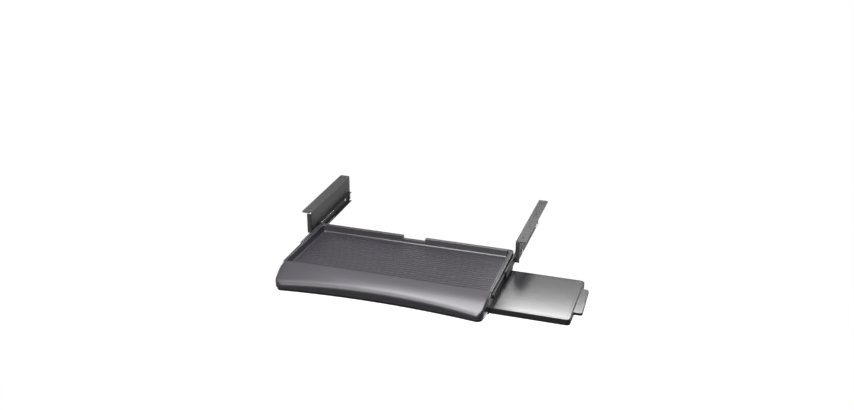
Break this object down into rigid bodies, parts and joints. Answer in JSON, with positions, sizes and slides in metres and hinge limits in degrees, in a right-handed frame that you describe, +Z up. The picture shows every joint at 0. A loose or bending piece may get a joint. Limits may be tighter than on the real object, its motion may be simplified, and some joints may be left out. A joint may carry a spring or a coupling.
{
  "type": "keyboard tray",
  "caption": "Under-desk keyboard drawer on ball-bearing slides, with a recessed tray, a sloped palm rest and a mouse platform that pulls out to the right.",
  "frame": {"origin": "centre of the outer four desk screw holes, on the plane of the desk's underside that the bracket flanges rest against", "axes": "+Z up, -Y towards the user, +X to the user's right, where the mouse platform pulls out; stored with the drawer and the platform pulled fully out"},
  "size_m": [0.7702, 0.5292, 0.0919],
  "materials": {
    "tray_plastic": "fine-textured mid grey moulding",
    "mousing_plastic": "satin grey sheet with a very fine grain",
    "black_plastic": "fine-textured black moulding",
    "black_painted_steel": "satin black powder coat",
    "black_slide_steel": "black electro-coated rolled steel",
    "zinc_cage_steel": "thin zinc-plated strip",
    "ball_steel": "polished bearing steel",
    "black_rubber": "matt black rubber",
    "zinc_screw_steel": "bright zinc-plated steel",
    "black_screw_steel": "black zinc-plated steel"
  },
  "bodies": {
    "desk_brackets": {"left_bracket": "black_painted_steel", "right_bracket": "black_painted_steel", "left_cabinet_member": "black_slide_steel", "right_cabinet_member": "black_slide_steel", "left_rear_bumper": "black_rubber", "right_rear_bumper": "black_rubber", "left_slide_screws": "zinc_screw_steel", "right_slide_screws": "zinc_screw_steel", "left_slide_nuts": "zinc_screw_steel", "right_slide_nuts": "zinc_screw_steel"},
    "tray": {"tray_body": "tray_plastic", "palm_rest": "tray_plastic", "bottom_cover": "black_plastic", "palm_rest_screws": "black_screw_steel", "cover_screws": "black_screw_steel", "left_drawer_member": "black_slide_steel", "right_drawer_member": "black_slide_steel", "left_drawer_screws": "zinc_screw_steel", "right_drawer_screws": "zinc_screw_steel"},
    "mouse_platform": {"mouse_platform_base": "black_plastic", "mousing_surface": "mousing_plastic", "platform_tab_pad": "mousing_plastic"},
    "left_intermediate": {"left_intermediate_member": "black_slide_steel"},
    "left_outer_bearing": {"left_outer_cage": "zinc_cage_steel", "left_outer_balls": "ball_steel"},
    "left_inner_bearing": {"left_inner_cage": "zinc_cage_steel", "left_inner_balls": "ball_steel"},
    "right_intermediate": {"right_intermediate_member": "black_slide_steel"},
    "right_outer_bearing": {"right_outer_cage": "zinc_cage_steel", "right_outer_balls": "ball_steel"},
    "right_inner_bearing": {"right_inner_cage": "zinc_cage_steel", "right_inner_balls": "ball_steel"}
  },
  "joints": [
    {"name": "tray_slide", "type": "slide", "parent": "desk_brackets", "child": "tray", "axis": [0, 1, 0], "range_m": [0, 0.225]},
    {"name": "mouse_platform_slide", "type": "slide", "parent": "tray", "child": "mouse_platform", "axis": [-1, 0, 0], "range_m": [0, 0.188]},
    {"name": "left_intermediate_slide", "type": "slide", "parent": "desk_brackets", "child": "left_intermediate", "axis": [0, 1, 0], "range_m": [0, 0.1125]},
    {"name": "left_outer_bearing_slide", "type": "slide", "parent": "desk_brackets", "child": "left_outer_bearing", "axis": [0, 1, 0], "range_m": [0, 0.05625]},
    {"name": "left_inner_bearing_slide", "type": "slide", "parent": "desk_brackets", "child": "left_inner_bearing", "axis": [0, 1, 0], "range_m": [0, 0.16875]},
    {"name": "right_intermediate_slide", "type": "slide", "parent": "desk_brackets", "child": "right_intermediate", "axis": [0, 1, 0], "range_m": [0, 0.1125]},
    {"name": "right_outer_bearing_slide", "type": "slide", "parent": "desk_brackets", "child": "right_outer_bearing", "axis": [0, 1, 0], "range_m": [0, 0.05625]},
    {"name": "right_inner_bearing_slide", "type": "slide", "parent": "desk_brackets", "child": "right_inner_bearing", "axis": [0, 1, 0], "range_m": [0, 0.16875]}
  ],
  "couplings": [
    {"joint": "left_intermediate_slide", "follows": "tray_slide", "ratio": 0.5},
    {"joint": "left_outer_bearing_slide", "follows": "tray_slide", "ratio": 0.25},
    {"joint": "left_inner_bearing_slide", "follows": "tray_slide", "ratio": 0.75},
    {"joint": "right_intermediate_slide", "follows": "tray_slide", "ratio": 0.5},
    {"joint": "right_outer_bearing_slide", "follows": "tray_slide", "ratio": 0.25},
    {"joint": "right_inner_bearing_slide", "follows": "tray_slide", "ratio": 0.75}
  ]
}
